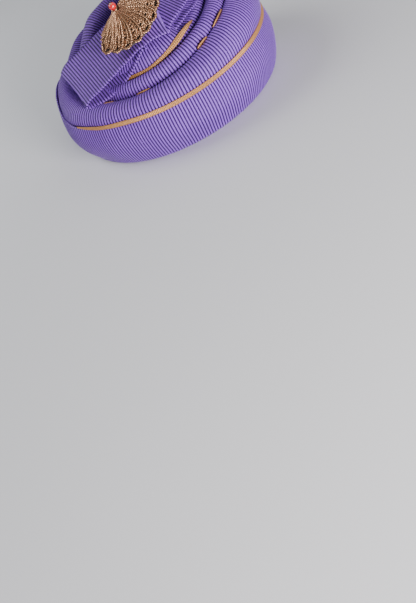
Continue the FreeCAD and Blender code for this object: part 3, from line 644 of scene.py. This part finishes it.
def crownRollCloth():
    line = smoothLine([(0.62 * a, r, z, w) for a, r, z, w in crownRoll["line"]], 46 * grosgrain["perRib"] + 1)
    azimuth, radius, height, size = np.radians(line[:, 0] / 0.62), line[:, 1], line[:, 2], line[:, 3]
    middle = np.stack([radius * np.cos(azimuth), radius * np.sin(azimuth), height], axis=1)
    tangent = unit(np.gradient(middle, axis=0))
    up = np.array([0, 0, 1.0])
    side = unit(np.cross(tangent, up))
    top = np.cross(side, tangent)
    columns, sides = len(middle), crownRoll["sides"]
    phase = np.arange(columns) / grosgrain["perRib"]
    angle = np.arange(sides) * turn / sides
    s = np.linspace(0, 1, columns)[:, None]
    taper = np.sqrt(np.clip(np.minimum(s, 1 - s) * 14, 0.02, 1))
    dent = 1 + 0.035 * ripple(s, angle[None, :] / turn, 41, high=4)
    groove = grosgrain["ribHeight"] * (1 - ribShape(phase))
    girth = size[:, None] * dent * taper - groove[:, None]
    points = (middle[:, None] + side[:, None] * (girth * np.cos(angle))[..., None]
              + top[:, None] * (girth * np.sin(angle))[..., None])
    faces = gridFaces(columns, sides, False)
    faces.append(list(range(sides)))
    faces.append([(columns - 1) * sides + k for k in range(sides)][::-1])
    v = angle * 8
    uv = np.stack(np.broadcast_arrays(phase[:, None], v[None, :]), axis=-1)
    faces = [f[::-1] for f in faces]
    piece = makeMesh("crown_roll_cloth", leanWithCrown(points.reshape(-1, 3)), faces, uv.reshape(-1, 2))
    dress(piece, purpleRibbon, "ribbon_purple", "crown_roll")


crownRollCloth()

# ---- bow: two ribbon loops and the short piece folded over their middle
bowCloth = {"thickness": 0.8, "ribPitch": 1.75, "ribHeight": 0.30, "perRib": 6}
leftLoop = {
    "near": [(-3.5, -38.0, 54.6), (-6.3, -38.4, 54.9), (-17.1, -38.6, 51.7), (-28.1, -38.6, 48.4),
             (-39.2, -38.4, 45.0), (-48.6, -38.2, 41.9), (-50.6, -38.6, 40.4), (-48.4, -39.2, 39.2),
             (-43.4, -39.6, 38.9), (-35.9, -39.8, 39.2), (-28.0, -39.8, 41.0), (-19.8, -39.4, 44.3),
             (-11.7, -38.6, 49.6), (-6.0, -37.6, 53.0)],
    "far": [(-9.0, 1.0, 63.4), (-12.0, 1.2, 63.4), (-20.0, 1.3, 61.4), (-32.0, 1.4, 58.4),
            (-44.0, 1.4, 55.4), (-54.6, 1.0, 52.4), (-57.8, 0.8, 49.6), (-56.4, 0.8, 47.6),
            (-51.0, 0.8, 48.4), (-42.0, 0.6, 50.6), (-32.0, 0.4, 53.4), (-22.0, 0.6, 56.6),
            (-14.0, 0.8, 60.0), (-9.5, 1.0, 61.8)],
    "bow": 1.0, "fullest": 1.0, "rows": 22}
rightLoop = {
    "near": [(4.0, -35.4, 52.6), (9.5, -35.4, 52.6), (14.0, -32.0, 55.0), (20.9, -28.4, 57.4),
             (28.0, -23.4, 59.3), (37.0, -15.4, 60.2), (41.0, -11.0, 58.2), (38.6, -13.4, 55.8),
             (32.0, -22.0, 54.6),
             (22.6, -29.2, 53.5), (14.6, -33.2, 52.0), (8.0, -34.6, 50.6)],
    "far": [(-10.0, -4.0, 64.0), (-6.0, -1.0, 65.4), (0.0, 4.0, 67.0), (7.0, 10.0, 67.8), (14.0, 16.0, 67.4),
            (20.0, 21.4, 65.4), (22.0, 23.0, 63.4), (20.0, 21.6, 61.6), (13.0, 15.4, 60.8),
            (5.0, 8.4, 60.6), (-3.0, 2.0, 61.2), (-9.0, -3.0, 62.4)],
    "bow": 1.0, "fullest": 1.0, "rows": 22}


def bowLoop(name, loop, node):
    length = runAlong(smoothLine(loop["near"], 200))[-1]
    columns = int(round(length / bowCloth["ribPitch"])) * bowCloth["perRib"] + 1
    near, far = smoothLine(loop["near"], columns), smoothLine(loop["far"], columns)
    t = np.linspace(0, 1, loop["rows"])[None, :, None]
    middle = near[:, None] * (1 - t) + far[:, None] * t
    across = unit(far - near)
    way = unit(np.gradient(near, axis=0))
    out = unit(np.cross(way, across))[:, None]
    s = np.linspace(0, 1, columns)[:, None, None]
    puff = loop["bow"] * np.sin(math.pi * t ** loop["fullest"]) * np.sin(math.pi * s) ** 0.5
    middle = middle + out * puff
    middle = middle + out * 0.25 * ripple(s, t, 51 + len(name), high=4)
    piece = ribbon(name, middle, bowCloth)
    dress(piece, purpleRibbon, "ribbon_purple", node)


bowLoop("bow_left_cloth", leftLoop, "bow_loop_left")
bowLoop("bow_right_cloth", rightLoop, "bow_loop_right")

bowKnot = {
    "near": [(-4.0, -37.0, 52.0), (-5.2, -37.6, 53.4), (-4.4, -38.3, 54.6), (-0.5, -38.6, 55.4),
             (4.5, -38.6, 55.4), (8.6, -38.2, 54.8), (10.4, -37.6, 53.6), (9.8, -37.0, 52.2),
             (7.6, -36.8, 51.6)],
    "far": [(-14.0, 0.0, 61.6), (-14.2, 0.0, 63.6), (-12.6, 0.0, 65.2), (-8.4, 0.0, 66.4), (-3.0, 0.0, 66.8),
            (1.4, 0.0, 66.4), (3.2, 0.0, 65.2), (2.6, 0.0, 63.8), (0.0, 0.0, 63.2)],
    "bow": 6.6, "fullest": 1.6, "rows": 22}
bowLoop("bow_knot_cloth", bowKnot, "bow_centre")
print("bow made")

# ---- bullion fan, in the frame of its felt
fan = {"pivot": (-9.35, -14.4, 70.4), "normal": (-0.116, -0.534, 0.837), "axis": (0.47, -0.70, -0.54),
       "boldReach": [(-80, 17.5), (-72, 21.5), (-64, 23.6), (-55, 24.6), (-45, 25.2)],
       "petals": [-64, -50, -35, -18, -1, 16, 33, 51, 69], "felt": 1.0, "tilt": 0.16,
       "half": [(2.6, 0.5), (6.0, 2.1), (11.0, 3.5), (17.0, 4.2), (22.0, 3.9), (25.2, 2.4), (26.4, 0.0)]}
fanZ = unit(np.array(fan["normal"]))
fanX = unit(np.array(fan["axis"]) - fanZ * fanZ.dot(fan["axis"]))
fanY = np.cross(fanZ, fanX)


def inFan(points, angle=0.0):
    # each petal lies with one side over its neighbour, as scales do
    p = np.asarray(points, float)
    c, s = math.cos(angle), math.sin(angle)
    x, y = p[..., 0] * c - p[..., 1] * s, p[..., 0] * s + p[..., 1] * c
    z = p[..., 2:3] + fan["tilt"] * p[..., 1:2]
    return np.array(fan["pivot"]) + x[..., None] * fanX + y[..., None] * fanY + z * fanZ


def petalLine(share, height, count=150):
    # the petal's outline, drawn in towards its middle by a share of its width
    reach = fan["half"][-1][0]
    upper = [(x if share == 1 else 3.4 + (x - 2.6) * (0.62 + 0.38 * share) * 0.96, y * share, height)
             for x, y in fan["half"]]
    lower = [(x, -y, z) for x, y, z in upper[-2::-1]]
    return smoothLine(upper + lower, count)


def fanCords():
    outline, fill, bold = [], [], []
    for k, degrees in enumerate(fan["petals"]):
        angle = math.radians(degrees)
        top = fan["felt"] + 1.1
        outline += strands(inFan(petalLine(1, top, 190), angle), 2, 0.40, 3.0, 0.13 * k)
        fill += strands(inFan(petalLine(0.56, top + 0.1, 130), angle), 2, 0.27, 2.2, 0.21 * k)
        x = np.linspace(6.0, 24.2, 150)
        width = 0.78 * np.interp(x, *zip(*fan["half"]))
        for side in (0, 1):
            swing = np.sin(turn * (x / 4.6 + side / 2))
            wave = np.stack([x, width * swing, top - 0.5 + 0.25 * np.cos(turn * x / 2.3)], axis=1)
            fill += strands(inFan(wave, angle), 2, 0.25, 2.0, 0.4 * side)
    for degrees in np.linspace(-80, -46, 9):
        angle = math.radians(degrees)
        reach = along(degrees, fan["boldReach"])
        line = np.stack([np.linspace(2.4, reach, 90), 0.35 * np.sin(np.linspace(0, 5, 90) + degrees),
                         np.full(90, fan["felt"] + 2.0)], axis=1)
        bold += strands(inFan(line, angle), 2, 0.40, 2.1, 0.09 * degrees)
    rim = tubes("fan_outline_twist", outline, 0.45)
    dress(rim, bullion, "bullion_gold", "fan_outline_cords")
    inside = tubes("fan_fill_twist", fill + bold, 0.29)
    dress(inside, bullion, "bullion_gold", "fan_fill_cords")


fanCords()
print("fan made")

# ---- carried-over pieces get their real finish
finishes = {
    "base_cap": buckramWeave, "edge_wire": coveredWire, "crown_lining": liningSatin,
    "head_ribbon": petershamBlack,
    "band_wadding": waddingWhite, "crown_padding": waddingWhite, "fan_felt": feltBrown,
    "red_bead": glassRed, "bead_collar": bullion, "bead_thread": bullion, "comb_spine": steelWire,
    "comb_teeth": steelWire, "comb_stitches": threadPurple, "clip_fixed_jaw": steelWire,
    "clip_moving_jaw": steelWire,
    "clip_pin": steelWire, "clip_spring": steelWire, "clip_felt": feltBlack, "clip_stitches": threadPurple}
for node, material in finishes.items():
    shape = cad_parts[node]
    shape.data.materials.clear()
    shape.data.materials.append(material)

# ---- stage, light and camera
stage = {"floor": (0.74, 0.75, 0.76), "size": 3.0}


def makeStage():
    bpy.ops.mesh.primitive_plane_add(size=stage["size"], location=(0, 0, 0))
    floor = bpy.context.active_object
    floor.name = "floor"
    material, nodes, links, shader = newMaterial("floor paper")
    setShader(shader, Base_Color=(*stage["floor"], 1), Roughness=0.9)
    floor.data.materials.append(material)


lampsAim = (0, 0, 0.03)
roomLight = {"colour": (0.90, 0.92, 0.96, 1), "strength": 0.11}
lights = [
    {"name": "window", "place": (0.26, -0.71, 0.13), "size": 0.30, "power": 14.0,
     "colour": (1.0, 0.96, 0.97)},
    {"name": "ceiling", "place": (-0.50, 0.20, 0.50), "size": 0.5, "power": 4.0, "colour": (0.95, 0.96, 1.0)},
    {"name": "wall", "place": (0.50, 0.30, 0.55), "size": 0.8, "power": 1.6, "colour": (0.92, 0.95, 1.0)}]


def makeLights():
    for item in lights:
        lamp = bpy.data.lights.new(item["name"], "AREA")
        lamp.size = item["size"]
        lamp.energy = item["power"]
        lamp.color = item["colour"]
        holder = bpy.data.objects.new(item["name"], lamp)
        holder.location = item["place"]
        way = Vector(lampsAim) - Vector(item["place"])
        holder.rotation_euler = way.to_track_quat("-Z", "Y").to_euler()
        bpy.context.scene.collection.objects.link(holder)
    world = bpy.data.worlds.new("room")
    world.use_nodes = True
    background = world.node_tree.nodes["Background"]
    background.inputs["Color"].default_value = roomLight["colour"]
    background.inputs["Strength"].default_value = roomLight["strength"]
    bpy.context.scene.world = world


cameraSet = {"place": (0, -0.4253, 0.20456), "turn": (44.0534, 24.3198, -15.2643), "lens": 41.79,
             "sensor": 36}


def makeCamera():
    lens = bpy.data.cameras.new("camera")
    lens.lens = cameraSet["lens"]
    lens.sensor_width = cameraSet["sensor"]
    lens.clip_start = 0.01
    holder = bpy.data.objects.new("camera", lens)
    holder.location = cameraSet["place"]
    holder.rotation_euler = [math.radians(a) for a in cameraSet["turn"]]
    bpy.context.scene.collection.objects.link(holder)
    bpy.context.scene.camera = holder


makeStage()
makeLights()
makeCamera()
print("stage, lights and camera ready")
